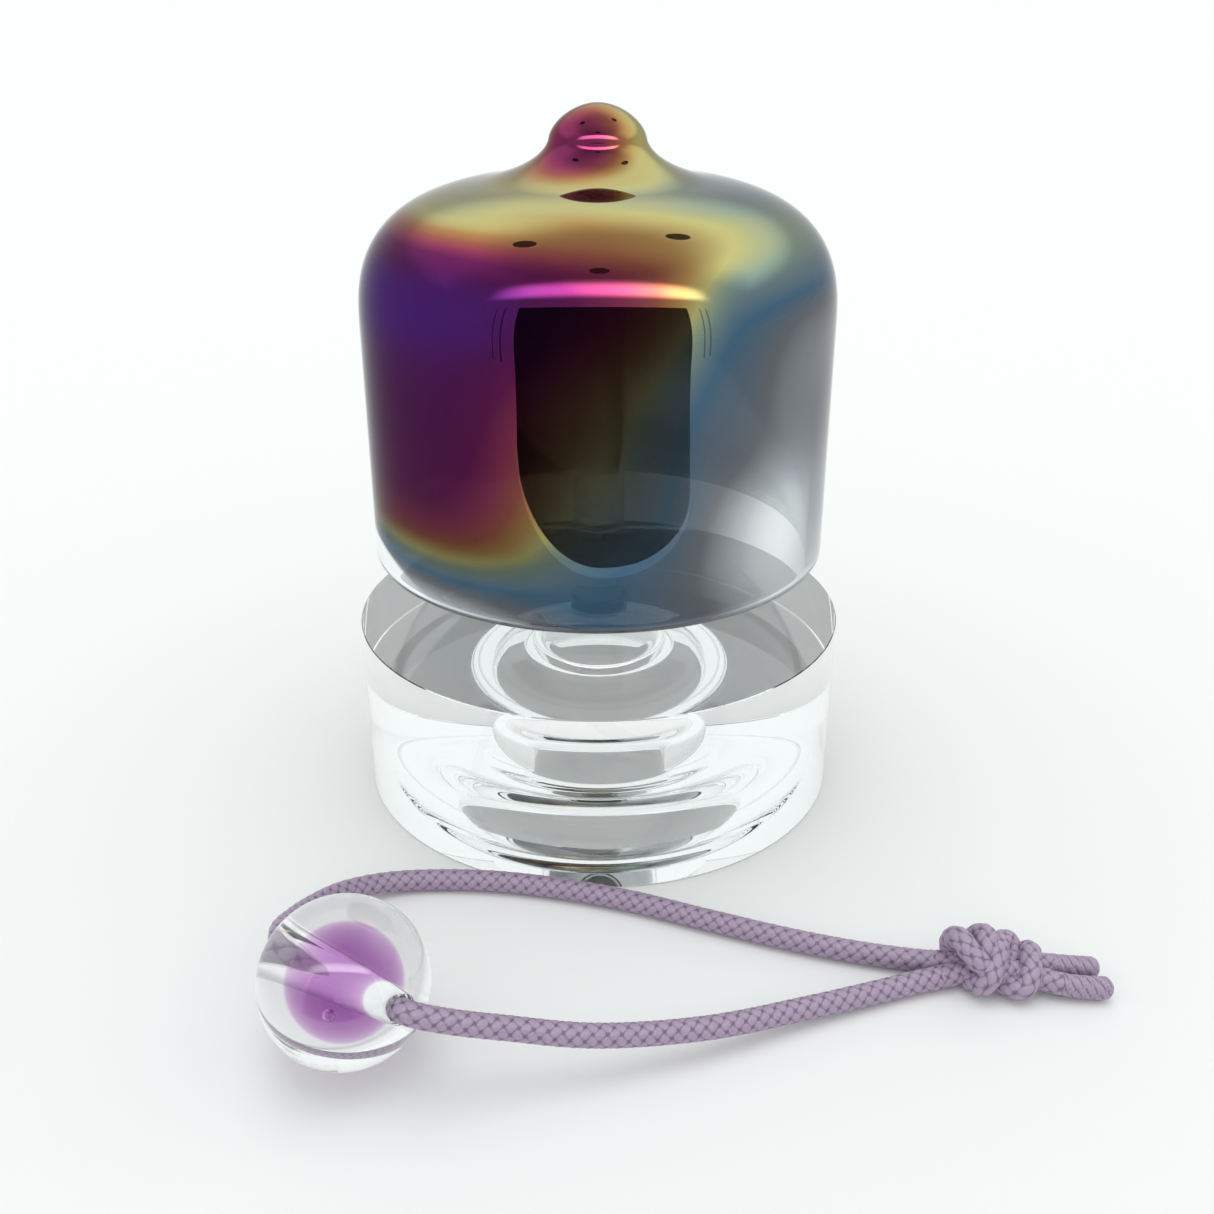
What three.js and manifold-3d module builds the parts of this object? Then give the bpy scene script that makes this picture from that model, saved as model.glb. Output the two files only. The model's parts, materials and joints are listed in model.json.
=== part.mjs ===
// Crystal bell on a clear post and base, with its glass bead striker on a knotted cord.
// Millimetres, +Z up, origin at the centre of the base's underside.
import * as THREE from "three";
import { mergeVertices } from "three/addons/utils/BufferGeometryUtils.js";
import Module from "manifold-3d";

const wasm = await Module();
wasm.setup();

// Base: a solid clear block with a stepped recess pressed into its underside.
const BASE_DIAMETER = 70;
const BASE_HEIGHT = 25.7;
const BASE_EDGE = 0.2;
const RECESS_DIAMETER = 39;
const RECESS_DEPTH = 6.3;
const RECESS_CORNER = 5.9;
const WELL_DIAMETER = 20;
const WELL_DEPTH = 13.5;
const WELL_CORNER = 3;
const WELL_LIP = 1.5;

// Bell: a blown dome, drawn out at the crown into a hollow knob that sits on the post.
const BELL_DIAMETER = 64;
const BELL_HEIGHT = 60;
const BELL_WALL = 2;
const RIM_GAP = 10.4;
const SHOULDER_HEIGHT = 17.55;
const KNOB_HEIGHT = 9.45;
const KNOB_FOOT_DIAMETER = 31.6;
const KNOB_WALL = 1.6;
const CROWN_WALL = 5;
const SOCKET_CORNER = 1.2;
const SOCKET_FLARE = 3;

// Fullness of the bell's curves, as shares of the shoulder, of the knob, or of the step between.
const SHOULDER_RISE = 0.28;
const SHOULDER_FULLNESS = 1;
const SHOULDER_CREST = 0.86;
const COVE_SWEEP = 0.42;
const COVE_RISE = 0.064;
const COVE_NECK = 1.08;
const COVE_TURN = 0.27;
const NECK_HEIGHT = 0.545;
const TIP_SHOULDER = 0.93;
const TIP_RISE = 0.78;
const TIP_FLATNESS = 0.44;
const MOUTH_RISE = 0.15;
const MOUTH_SWEEP = 0.4;

// Post: a clear rod standing on the base, ringed at its foot and tipped with a soft cap.
const POST_DIAMETER = 7.3;
const POST_EDGE = 0.4;
const COLLAR_WALL = 0.4;
const COLLAR_HEIGHT = 2.4;
const COLLAR_EDGE = 0.15;
const CAP_WALL = 0.6;
const CAP_TOP = 1.2;
const CAP_SKIRT = 4;
const CAP_EDGE = 0.5;
const SLIDE_FIT = 0.1;
const SOCKET_FIT = 0.4;
const SEAT_GAP = 0.3;

// Striker: a glass bead with a violet core, threaded on the cord.
const BEAD_DIAMETER = 19.4;
const BEAD_PLACE = [-27.9, -64.8];
const BORE_DIAMETER = 3.5;
const BORE_HEADING = -39.3;
const BORE_TILT = 7.8;
const CORE_DIAMETER = 9.2;
const CORE_FIT = 0.3;

// Cord: one waxed braid. Its centre line runs from the front tail through the knot, along the
// front strand, through the bead, along the back strand, through the knot to the back tail.
const CORD_DIAMETER = 2.8;
const CORD_SIDES = 8;
const LOOP_STEPS = 64;
const KNOT_STEP = 1.9;
const KNOT_BEND = 3;
const KNOT_MIDDLE = [47.6, -53.5, 3.6];
const KNOT_MIDDLE_SIZE = [6.8, 4, 3.6];
const KNOT_MIDDLE_SIDES = 10;
const TAIL_STEPS = 4;
const CORD_JOIN_GAP = 0.4;
const BORE_REACH = 1;
const TAIL_FRONT = [
  [61.4, -56.4, 1.45],
  [58.0, -56.3, 1.55],
  [55.4, -56.0, 1.75],
];
// Overhand knot in the doubled cord: seen from the strands, each runs in under the turns, up the
// back, over the top and down the front, under and up the back again, then in at the left and out.
const KNOT_FRONT = [
  [53.0, -55.4, 2.1],
  [49.5, -54.8, 2.8],
  [46.9, -55.6, 3.6],
  [45.0, -55.2, 5.0],
  [43.5, -53.0, 6.1],
  [43.1, -51.3, 4.6],
  [43.3, -51.0, 3.0],
  [44.4, -52.8, 1.7],
  [45.4, -55.8, 1.7],
  [46.2, -56.8, 2.7],
  [47.4, -55.2, 4.7],
  [48.6, -52.2, 4.8],
  [50.0, -51.2, 4.2],
  [50.3, -52.4, 3.1],
  [48.0, -53.8, 3.0],
  [44.0, -54.0, 1.9],
];
const FRONT_STRAND = [
  [41.0, -54.6, 1.5],
  [38.0, -55.4, 1.45],
  [33.4, -57.0, 1.45],
  [24.5, -60.4, 2.0],
  [12.5, -65.4, 3.6],
  [-0.1, -69.0, 5.8],
  [-10.0, -70.6, 8.4],
  [-15.8, -71.6, 10.2],
];
const BACK_STRAND = [
  [-37.6, -54.0, 7.8],
  [-37.2, -49.0, 6.0],
  [-35.8, -44.0, 4.2],
  [-33.4, -39.8, 2.9],
  [-29.8, -36.8, 1.9],
  [-25.5, -35.4, 1.5],
  [-16.2, -35.2, 1.45],
  [-6.8, -36.6, 1.45],
  [3.8, -39.5, 1.45],
  [14.0, -43.5, 1.45],
  [23.7, -47.2, 1.45],
  [32.1, -49.8, 1.45],
  [38.0, -51.1, 1.45],
  [41.0, -51.6, 1.5],
];
const KNOT_BACK = [
  [44.0, -52.0, 1.9],
  [48.5, -52.3, 2.7],
  [51.3, -51.4, 2.4],
  [52.4, -52.2, 3.5],
  [51.9, -53.9, 3.9],
  [51.6, -55.8, 3.2],
  [50.6, -56.9, 2.0],
  [49.2, -56.2, 1.65],
  [47.6, -53.8, 1.7],
  [46.4, -51.2, 2.4],
  [46.1, -50.7, 4.4],
  [46.8, -52.4, 6.0],
  [46.5, -54.3, 5.3],
  [47.6, -54.4, 4.0],
  [50.0, -53.2, 2.9],
  [53.0, -52.7, 2.1],
];
const TAIL_BACK = [
  [55.4, -52.6, 1.75],
  [58.0, -52.7, 1.55],
  [60.9, -52.8, 1.45],
];

// Facets of the round pieces, and points along each curve of an outline.
const LARGE_ROUND = 48;
const SMALL_ROUND = 24;
const CURVE_POINTS = 6;
const CORNER_POINTS = 4;
const BEAD_POINTS = 6;
const WELD_DISTANCE = 1e-4;

// Heights and radii that follow from the sizes above.
const baseRadius = BASE_DIAMETER / 2;
const bellRadius = BELL_DIAMETER / 2;
const postRadius = POST_DIAMETER / 2;
const beadRadius = BEAD_DIAMETER / 2;
const boreRadius = BORE_DIAMETER / 2;
const coreRadius = CORE_DIAMETER / 2;
const rimHeight = BASE_HEIGHT + RIM_GAP;
const bellTop = rimHeight + BELL_HEIGHT;
const crownHeight = bellTop - KNOB_HEIGHT;
const wallTop = crownHeight - SHOULDER_HEIGHT;
const capRadius = postRadius + SLIDE_FIT + CAP_WALL;
const socketRadius = capRadius + SOCKET_FIT;
const knobRadius = socketRadius + KNOB_WALL;
const footRadius = KNOB_FOOT_DIAMETER / 2;
const socketTop = bellTop - CROWN_WALL;
const capHeight = socketTop - SEAT_GAP;
const postTop = capHeight - CAP_TOP - SLIDE_FIT;

function lathe(outline, segments) {
  const geometry = new THREE.LatheGeometry(outline, segments);
  geometry.rotateX(Math.PI / 2);
  return weld(geometry);
}

// Shares the corners of touching faces and leaves out faces of no area, as at a pole.
function weld(geometry) {
  geometry.deleteAttribute("normal");
  geometry.deleteAttribute("uv");
  const merged = mergeVertices(geometry, WELD_DISTANCE);
  const corners = merged.index.array;
  const kept = [];
  for (let i = 0; i < corners.length; i += 3) {
    const [a, b, c] = corners.slice(i, i + 3);
    if (a !== b && b !== c && c !== a) kept.push(a, b, c);
  }
  merged.setIndex(kept);
  return merged;
}

function baseOutline() {
  const well = WELL_DIAMETER / 2;
  const recess = RECESS_DIAMETER / 2;
  const wellEdge = well - WELL_CORNER;
  const recessEdge = recess - RECESS_CORNER;
  const path = new THREE.Path();
  path.moveTo(0, WELL_DEPTH);
  path.lineTo(wellEdge, WELL_DEPTH);
  path.absarc(wellEdge, WELL_DEPTH - WELL_CORNER, WELL_CORNER, Math.PI / 2, 0, true);
  path.absarc(well + WELL_LIP, RECESS_DEPTH + WELL_LIP, WELL_LIP, Math.PI, 1.5 * Math.PI, false);
  path.lineTo(recessEdge, RECESS_DEPTH);
  path.absarc(recessEdge, RECESS_DEPTH - RECESS_CORNER, RECESS_CORNER, Math.PI / 2, 0, true);
  path.lineTo(recess, 0);
  path.lineTo(baseRadius - BASE_EDGE, 0);
  path.lineTo(baseRadius, BASE_EDGE);
  path.lineTo(baseRadius, BASE_HEIGHT - BASE_EDGE);
  path.lineTo(baseRadius - BASE_EDGE, BASE_HEIGHT);
  path.lineTo(0, BASE_HEIGHT);
  return path.getPoints(CORNER_POINTS);
}

// One side of the bell's wall from the straight part over the shoulder to the knob's foot.
function shoulder(path, inset) {
  const outer = bellRadius - inset;
  const top = crownHeight - inset;
  const foot = top - SHOULDER_HEIGHT;
  path.lineTo(outer, wallTop);
  path.bezierCurveTo(
    outer, foot + SHOULDER_RISE * SHOULDER_HEIGHT,
    footRadius + SHOULDER_FULLNESS * (outer - footRadius), foot + SHOULDER_CREST * SHOULDER_HEIGHT,
    footRadius, top,
  );
}

function bellOutside() {
  const path = new THREE.Path();
  path.moveTo(bellRadius, rimHeight + BELL_WALL / 2);
  shoulder(path, 0);
  path.bezierCurveTo(
    footRadius - COVE_SWEEP * (footRadius - knobRadius), crownHeight + COVE_RISE * KNOB_HEIGHT,
    COVE_NECK * knobRadius, crownHeight + COVE_TURN * KNOB_HEIGHT,
    knobRadius, crownHeight + NECK_HEIGHT * KNOB_HEIGHT,
  );
  path.bezierCurveTo(
    TIP_SHOULDER * knobRadius, crownHeight + TIP_RISE * KNOB_HEIGHT,
    TIP_FLATNESS * knobRadius, bellTop,
    0, bellTop,
  );
  return path.getPoints(CURVE_POINTS);
}

function bellInside() {
  const mouth = crownHeight - BELL_WALL + MOUTH_RISE * KNOB_HEIGHT;
  const corner = socketRadius - SOCKET_CORNER;
  const path = new THREE.Path();
  path.moveTo(bellRadius - BELL_WALL, rimHeight + BELL_WALL / 2);
  shoulder(path, BELL_WALL);
  path.bezierCurveTo(
    footRadius - MOUTH_SWEEP * (footRadius - socketRadius), mouth,
    socketRadius, mouth,
    socketRadius, mouth + SOCKET_FLARE,
  );
  path.lineTo(socketRadius, socketTop - SOCKET_CORNER);
  path.absarc(corner, socketTop - SOCKET_CORNER, SOCKET_CORNER, 0, Math.PI / 2, false);
  path.lineTo(0, socketTop);
  return path.getPoints(CURVE_POINTS);
}

function bellRim() {
  const round = BELL_WALL / 2;
  const path = new THREE.Path();
  path.absarc(bellRadius - round, rimHeight + round, round, Math.PI, 2 * Math.PI, false);
  return path.getPoints(CORNER_POINTS).slice(1, -1);
}

function bellOutline() {
  return [...bellInside().reverse(), ...bellRim(), ...bellOutside()];
}

function postOutline() {
  return [
    new THREE.Vector2(0, BASE_HEIGHT),
    new THREE.Vector2(postRadius, BASE_HEIGHT),
    new THREE.Vector2(postRadius, postTop - POST_EDGE),
    new THREE.Vector2(postRadius - POST_EDGE, postTop),
    new THREE.Vector2(0, postTop),
  ];
}

function collarOutline() {
  const inner = postRadius + SLIDE_FIT;
  const outer = inner + COLLAR_WALL;
  const top = BASE_HEIGHT + COLLAR_HEIGHT;
  return [
    new THREE.Vector2(inner, BASE_HEIGHT),
    new THREE.Vector2(outer, BASE_HEIGHT),
    new THREE.Vector2(outer, top - COLLAR_EDGE),
    new THREE.Vector2(outer - COLLAR_EDGE, top),
    new THREE.Vector2(inner, top),
    new THREE.Vector2(inner, BASE_HEIGHT),
  ];
}

function capOutline() {
  const inner = postRadius + SLIDE_FIT;
  const skirt = capHeight - CAP_TOP - CAP_SKIRT;
  return [
    new THREE.Vector2(0, capHeight - CAP_TOP),
    new THREE.Vector2(inner, capHeight - CAP_TOP),
    new THREE.Vector2(inner, skirt),
    new THREE.Vector2(capRadius, skirt),
    new THREE.Vector2(capRadius, capHeight - CAP_EDGE),
    new THREE.Vector2(capRadius - CAP_EDGE, capHeight),
    new THREE.Vector2(0, capHeight),
  ];
}

// Points of a ball's outline between the two ends of a bore, from the lower end up.
function ballArc(radius, bore) {
  const end = Math.acos(bore / radius);
  const path = new THREE.Path();
  path.absarc(0, 0, radius, -end, end, false);
  return path.getPoints(BEAD_POINTS);
}

function beadOutline() {
  const outer = ballArc(beadRadius, boreRadius);
  const cavity = ballArc(coreRadius + CORE_FIT, boreRadius).reverse();
  return [...outer, ...cavity, outer[0].clone()];
}

function coreOutline() {
  const outer = ballArc(coreRadius, boreRadius);
  return [...outer, outer[0].clone()];
}

function cordSection() {
  const corners = [];
  for (let i = 0; i < CORD_SIDES; i += 1) {
    const turn = (2 * Math.PI * i) / CORD_SIDES;
    const corner = new THREE.Vector2(Math.cos(turn), Math.sin(turn));
    corners.push(corner.multiplyScalar(CORD_DIAMETER / 2));
  }
  return new THREE.Shape(corners);
}

// Part of a longer curve, between two of the points that the curve goes through.
class Stretch extends THREE.Curve {
  constructor(whole, from, to) {
    super();
    this.whole = whole;
    this.from = from;
    this.to = to;
  }

  getPoint(share, target) {
    const along = this.from + share * (this.to - this.from);
    return this.whole.getPoint(along / (this.whole.points.length - 1), target);
  }
}

function tube(curve, steps) {
  const options = { steps, extrudePath: curve, bevelEnabled: false };
  return weld(new THREE.ExtrudeGeometry(cordSection(), options));
}

function boreAxis() {
  const heading = THREE.MathUtils.degToRad(BORE_HEADING);
  const tilt = THREE.MathUtils.degToRad(BORE_TILT);
  return new THREE.Vector3(
    Math.cos(tilt) * Math.cos(heading),
    Math.cos(tilt) * Math.sin(heading),
    Math.sin(tilt),
  );
}

function beadCentre() {
  return new THREE.Vector3(...BEAD_PLACE, beadRadius);
}

// The straight run of the cord through the bead's bore, entered at its front mouth.
function boreRun() {
  const axis = boreAxis();
  const reach = beadRadius + BORE_REACH;
  const stops = [reach, reach / 3, -reach / 3, -reach];
  return stops.map((along) => beadCentre().addScaledVector(axis, along).toArray());
}

// The whole cord's curve, and the places on it where one stretch ends and the next begins.
function cordCurve() {
  const runs = [
    TAIL_FRONT, KNOT_FRONT, [...FRONT_STRAND, ...boreRun(), ...BACK_STRAND], KNOT_BACK, TAIL_BACK,
  ];
  const points = runs.flat().map((point) => new THREE.Vector3(...point));
  const tailEnd = TAIL_FRONT.length - 1;
  const loopStart = tailEnd + KNOT_FRONT.length + 1;
  const loopEnd = points.length - 1 - TAIL_BACK.length - KNOT_BACK.length;
  const tailStart = points.length - TAIL_BACK.length;
  return { curve: new THREE.CatmullRomCurve3(points), tailEnd, loopStart, loopEnd, tailStart };
}

// A place on the cord's curve, moved along it by half the gap that is left at a join.
function pastJoin(curve, place, direction) {
  const spacing = curve.points[place].distanceTo(curve.points[place + direction]);
  return place + (direction * CORD_JOIN_GAP) / (2 * spacing);
}

function toSolid(geometry) {
  return new wasm.Manifold(new wasm.Mesh({
    numProp: 3,
    vertProperties: new Float32Array(geometry.attributes.position.array),
    triVerts: new Uint32Array(geometry.index.array),
  }));
}

function toGeometry(solid) {
  const mesh = solid.getMesh();
  const geometry = new THREE.BufferGeometry();
  geometry.setAttribute("position", new THREE.BufferAttribute(mesh.vertProperties, mesh.numProp));
  geometry.setIndex(new THREE.BufferAttribute(mesh.triVerts, 1));
  return geometry;
}

function stretchBetween(curve, start, end, steps) {
  const from = pastJoin(curve, start, 1);
  const to = pastJoin(curve, end, -1);
  return tube(new Stretch(curve, from, to), steps);
}

// One strand of the knot as overlapping short bends, because the strand touches itself.
function strandBends(curve, start, end) {
  const from = pastJoin(curve, start, 1);
  const to = pastJoin(curve, end, -1);
  const bends = [];
  for (let place = start; place + 1 < end; place += KNOT_BEND - 1) {
    const bend = new Stretch(curve, Math.max(place, from), Math.min(place + KNOT_BEND, to));
    bends.push(tube(bend, Math.ceil(bend.getLength() / KNOT_STEP)));
  }
  return bends;
}

// The middle of the knot, where the strands are squeezed together without a hollow.
function knotMiddle() {
  const ball = new THREE.SphereGeometry(1 / 2, KNOT_MIDDLE_SIDES, KNOT_MIDDLE_SIDES / 2);
  ball.scale(...KNOT_MIDDLE_SIZE);
  ball.translate(...KNOT_MIDDLE);
  return weld(ball);
}

// Joins the bends of both strands into the one knot.
function knotGeometry({ curve, tailEnd, loopStart, loopEnd, tailStart }) {
  const bends = [
    ...strandBends(curve, tailEnd, loopStart),
    ...strandBends(curve, loopEnd, tailStart),
    knotMiddle(),
  ];
  const solids = bends.map(toSolid);
  return toGeometry(solids.reduce((knot, bend) => knot.add(bend)));
}

function glass(color, opacity) {
  return new THREE.MeshStandardMaterial({
    color, opacity, transparent: true, roughness: 0.03, metalness: 0,
  });
}

function silicone() {
  return new THREE.MeshStandardMaterial({ color: 0xe8ecee, roughness: 0.35, metalness: 0 });
}

function waxedCord() {
  return new THREE.MeshStandardMaterial({ color: 0x8a7392, roughness: 0.6, metalness: 0 });
}

function coatedGlass() {
  return new THREE.MeshStandardMaterial({ color: 0x5a2a6e, roughness: 0.05, metalness: 0.6 });
}

function piece(name, geometry, material) {
  const mesh = new THREE.Mesh(geometry, material);
  mesh.name = name;
  return mesh;
}

function stand() {
  const group = new THREE.Group();
  group.add(
    piece("base_block", lathe(baseOutline(), LARGE_ROUND), glass(0xf4f7f8, 0.3)),
    piece("support_post", lathe(postOutline(), SMALL_ROUND), glass(0xf4f7f8, 0.4)),
    piece("post_collar", lathe(collarOutline(), SMALL_ROUND), silicone()),
    piece("post_cap", lathe(capOutline(), SMALL_ROUND), silicone()),
  );
  return group;
}

function bell() {
  return piece("bell_dome", lathe(bellOutline(), LARGE_ROUND), coatedGlass());
}

function bead() {
  const group = new THREE.Group();
  group.position.copy(beadCentre());
  group.quaternion.setFromUnitVectors(new THREE.Vector3(0, 0, 1), boreAxis());
  group.add(
    piece("bead_shell", lathe(beadOutline(), SMALL_ROUND), glass(0xf6f4f8, 0.3)),
    piece("bead_core", lathe(coreOutline(), SMALL_ROUND), glass(0xb45fc8, 0.7)),
  );
  return group;
}

function striker() {
  const cord = cordCurve();
  const { curve, tailEnd, loopStart, loopEnd, tailStart } = cord;
  const loop = stretchBetween(curve, loopStart, loopEnd, LOOP_STEPS);
  const frontTail = tube(new Stretch(curve, 0, pastJoin(curve, tailEnd, -1)), TAIL_STEPS);
  const backEnd = curve.points.length - 1;
  const backTail = tube(new Stretch(curve, pastJoin(curve, tailStart, 1), backEnd), TAIL_STEPS);
  const group = new THREE.Group();
  group.add(
    bead(),
    piece("cord_loop", loop, waxedCord()),
    piece("cord_knot", knotGeometry(cord), waxedCord()),
    piece("cord_tail_front", frontTail, waxedCord()),
    piece("cord_tail_back", backTail, waxedCord()),
  );
  return group;
}

const crystalBell = new THREE.Group();
crystalBell.add(stand(), bell(), striker());

export default crystalBell;
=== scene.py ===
"""Looks of a crystal bell: coated glass dome on a clear post and base, with a bead striker on a cord."""
import json
import math

import bmesh
import bpy
import numpy as np
from mathutils import Matrix, Vector


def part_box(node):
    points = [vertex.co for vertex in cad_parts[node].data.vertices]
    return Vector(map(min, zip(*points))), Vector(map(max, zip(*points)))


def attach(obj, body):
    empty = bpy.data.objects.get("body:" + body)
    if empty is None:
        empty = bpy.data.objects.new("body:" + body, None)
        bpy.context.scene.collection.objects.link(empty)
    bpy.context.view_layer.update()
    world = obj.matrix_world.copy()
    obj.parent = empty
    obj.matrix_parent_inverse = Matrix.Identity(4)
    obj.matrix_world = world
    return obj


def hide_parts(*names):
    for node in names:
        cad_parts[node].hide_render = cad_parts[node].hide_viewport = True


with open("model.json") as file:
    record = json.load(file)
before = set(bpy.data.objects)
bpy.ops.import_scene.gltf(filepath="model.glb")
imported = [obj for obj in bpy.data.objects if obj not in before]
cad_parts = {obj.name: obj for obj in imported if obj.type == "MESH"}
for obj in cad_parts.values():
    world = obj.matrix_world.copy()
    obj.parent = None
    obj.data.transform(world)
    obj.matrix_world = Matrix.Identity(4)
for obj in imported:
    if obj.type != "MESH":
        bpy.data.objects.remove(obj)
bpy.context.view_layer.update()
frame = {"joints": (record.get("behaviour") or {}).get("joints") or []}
MM = 0.001

# Camera: the photograph's place, pitch and field, worked out from the base's and the rim's ellipses.
PHOTO_WIDTH = 1214
PHOTO_FOCAL = 1345
SENSOR = 36.0
CAMERA_PLACE = (1.2 * MM, -182.15 * MM, 110.67 * MM)
CAMERA_PITCH = math.radians(64.85)
CAMERA_CLIP = 5 * MM

# Sizes of the base, the post and its two soft pieces that the frame's boxes don't give.
RECESS_RADIUS = 19.5 * MM
RECESS_DEPTH = 6.3 * MM
RECESS_CORNER = 5.9 * MM
WELL_RADIUS = 10 * MM
WELL_DEPTH = 13.5 * MM
WELL_CORNER = 2 * MM
WELL_LIP = 1.5 * MM
BASE_EDGE = 0.12 * MM
POST_EDGE = 0.3 * MM
COLLAR_WALL = 0.4 * MM
CAP_WALL = 0.6 * MM
CAP_TOP = 1.2 * MM

# Sizes of the bell.
BELL_WALL = 2 * MM
LIP_RADIUS = BELL_WALL / 2
WALL_FOOT = 1.5 * LIP_RADIUS
SHOULDER_HEIGHT = 17.55 * MM
KNOB_HEIGHT = 9.45 * MM
KNOB_FOOT_RADIUS = 15.8 * MM
KNOB_RADIUS = 6.35 * MM
SOCKET_RADIUS = 4.75 * MM
SOCKET_CORNER = 1.2 * MM
SOCKET_FLARE = 3 * MM
CROWN_WALL = 5 * MM

# Handles of the bell's curves, as shares of the shoulder's height and of the knob's radius and height.
SHOULDER_HANDLES = (0.28, 0.86)
KNOB_FOOT_HANDLE = (0.42, 0.064)
KNOB_NECK_HANDLE = (1.08, 0.27)
KNOB_WAIST = 0.545
KNOB_CHEEK_HANDLE = (0.93, 0.78)
KNOB_TOP_HANDLE = 0.44
SOCKET_HANDLE = 0.4
SOCKET_MOUTH = 0.15

# The film lies on outer faces above this height over the rim. Upward faces count as outer from this slope,
# and within this radius at any slope.
FILM_ON_LIP = BELL_WALL / 4
CROWN_SLOPE = 0.5
KNOB_ZONE = 1.5 * SOCKET_RADIUS

# Sizes of the bead.
BORE_RADIUS = 1.75 * MM
BORE_AXIS = Vector(frame["joints"][-1]["axis"]).normalized()
CORE_RADIUS = 4.35 * MM
CORE_GAP = 0.05 * MM
BUBBLE_PLACE = Vector((-1.01, -1.7, -1.68)) * MM
BUBBLE_RADIUS = 0.5 * MM

# Fineness of the meshes.
ROUND_STEPS = 160
ARC_POINTS = 10
CURVE_POINTS = 28
WALL_STEPS = 12
SHELL_POINTS = 64
CORE_POINTS = 48
BUBBLE_STEPS = (24, 12)
SHARP_ANGLE = math.radians(24)
MERGE_DISTANCE = 1e-7

# Cord: braid of ten plaits, five each way round. Its routes are points in millimetres.
CORD_DIAMETER = 2.8 * MM
CORD_STEP = 0.14 * MM
CORD_RING = 22
ROUTE_STEPS = 60
PLAITS = 5
PLAIT_LENGTH = 1.65 * MM
PLAIT_ROUND = 0.07 * MM
PLAIT_WAVE = 0.12 * MM
# Painted shade: the cord's colour darkens where the plaits stand lower than these shares of their height.
PLAIT_SHADE_RANGE = (0.3, 0.75)
WAX_GRAIN = 0.3 * MM
TIP_ROUNDING = 1.0 * MM
TIP_DEPTH = 0.8
BORE_REACH = 1 * MM
TAIL_FRONT = [
    (61.4, -56.4, 1.45), (58.0, -56.3, 1.55), (55.4, -56.0, 1.75),
]
KNOT_FRONT = [
    (53.0, -55.4, 2.1), (49.5, -54.8, 2.8), (46.9, -55.6, 3.6), (45.0, -55.2, 5.0),
    (43.5, -53.0, 6.1), (43.1, -51.3, 4.6), (43.3, -51.0, 3.0), (44.4, -52.8, 1.7),
    (45.4, -55.8, 1.7), (46.2, -56.8, 2.7), (47.4, -55.2, 4.7), (48.6, -52.2, 4.8),
    (50.0, -51.2, 4.2), (50.3, -52.4, 3.1), (48.0, -53.8, 3.0), (44.0, -54.0, 1.9),
]
FRONT_STRAND = [
    (41.0, -54.6, 1.5), (38.0, -55.4, 1.45), (33.4, -57.0, 1.45), (24.5, -60.4, 2.0),
    (12.5, -65.4, 3.6), (-0.1, -69.0, 5.8), (-10.0, -70.6, 8.4), (-15.8, -71.6, 10.2),
]
BACK_STRAND = [
    (-37.6, -54.0, 7.8), (-37.2, -49.0, 6.0), (-35.8, -44.0, 4.2), (-33.4, -39.8, 2.9),
    (-29.8, -36.8, 1.9), (-25.5, -35.4, 1.5), (-16.2, -35.2, 1.45), (-6.8, -36.6, 1.45),
    (3.8, -39.5, 1.45), (14.0, -43.5, 1.45), (23.7, -47.2, 1.45), (32.1, -49.8, 1.45),
    (38.0, -51.1, 1.45), (41.0, -51.6, 1.5),
]
KNOT_BACK = [
    (44.0, -52.0, 1.9), (48.5, -52.3, 2.7), (51.3, -51.4, 2.4), (52.4, -52.2, 3.5),
    (51.9, -53.9, 3.9), (51.6, -55.8, 3.2), (50.6, -56.9, 2.0), (49.2, -56.2, 1.65),
    (47.6, -53.8, 1.7), (46.4, -51.2, 2.4), (46.1, -50.7, 4.4), (46.8, -52.4, 6.0),
    (46.5, -54.3, 5.3), (47.6, -54.4, 4.0), (50.0, -53.2, 2.9), (53.0, -52.7, 2.1),
]
TAIL_BACK = [
    (55.4, -52.6, 1.75), (58.0, -52.7, 1.55), (60.9, -52.8, 1.45),
]

# Film: its colours in the order of its thickness, from bare glass to the thickest.
FILM_COLOURS = [
    (0.00, "#f6fafb"),
    (0.10, "#a6abb0"),
    (0.20, "#64666c"),
    (0.29, "#3d637f"),
    (0.36, "#687c80"),
    (0.42, "#82927e"),
    (0.48, "#aaa468"),
    (0.56, "#9c7846"),
    (0.64, "#8a4c3e"),
    (0.72, "#7c304a"),
    (0.80, "#5a1a48"),
    (0.88, "#4c184c"),
    (1.00, "#411e6e"),
]
# The film's thickness up the bell, by height in millimetres, at four bearings from left to right.
FILM_LEFT = [
    (36, 0.0), (41, 0.27), (44.4, 0.5), (48.2, 0.72), (54, 0.83), (68, 0.9),
    (75, 0.97), (80, 0.85), (83, 0.6), (86, 0.42), (88, 0.5),
]
FILM_FRONT = [
    (36, 0.25), (39, 0.28), (45, 0.31), (52, 0.42), (60, 0.54), (72, 0.66),
    (78, 0.74), (82, 0.63), (85, 0.54), (86.5, 0.48), (88, 0.53), (92, 0.5),
]
FILM_RIGHT = [
    (36, 0.22), (42, 0.21), (47, 0.22), (52, 0.22), (60, 0.24), (73, 0.31),
    (77, 0.36), (83, 0.5), (86.3, 0.44), (88, 0.49),
]
FILM_FAR = [
    (36, 0.07), (44, 0.1), (50, 0.11), (58, 0.15), (72, 0.18), (78, 0.34),
    (83, 0.42), (86.3, 0.38), (88, 0.44), (92, 0.48),
]
FILM_FOOT = 36 * MM
FILM_SPAN = 60 * MM
# The film's thickest side, and where along that direction each profile gives way to the next.
FILM_BEARING = math.radians(-60)
FILM_SIDE = Vector((math.sin(FILM_BEARING), -math.cos(FILM_BEARING), 0))
RIGHT_BLEND = (-0.45, 0.15)
FRONT_BLEND = (0.05, 0.6)
LEFT_BLEND = (0.5, 0.98)
# Between these heights the front and left profiles reach further round.
SWING_HEIGHTS = (60 * MM, 80 * MM)
SWING = 0.13
# The film starts between these heights, and higher at the far left.
FILM_START = (35.9 * MM, 37.2 * MM)
HEM_RISE = 5 * MM
HEM_END = 0.6
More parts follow.
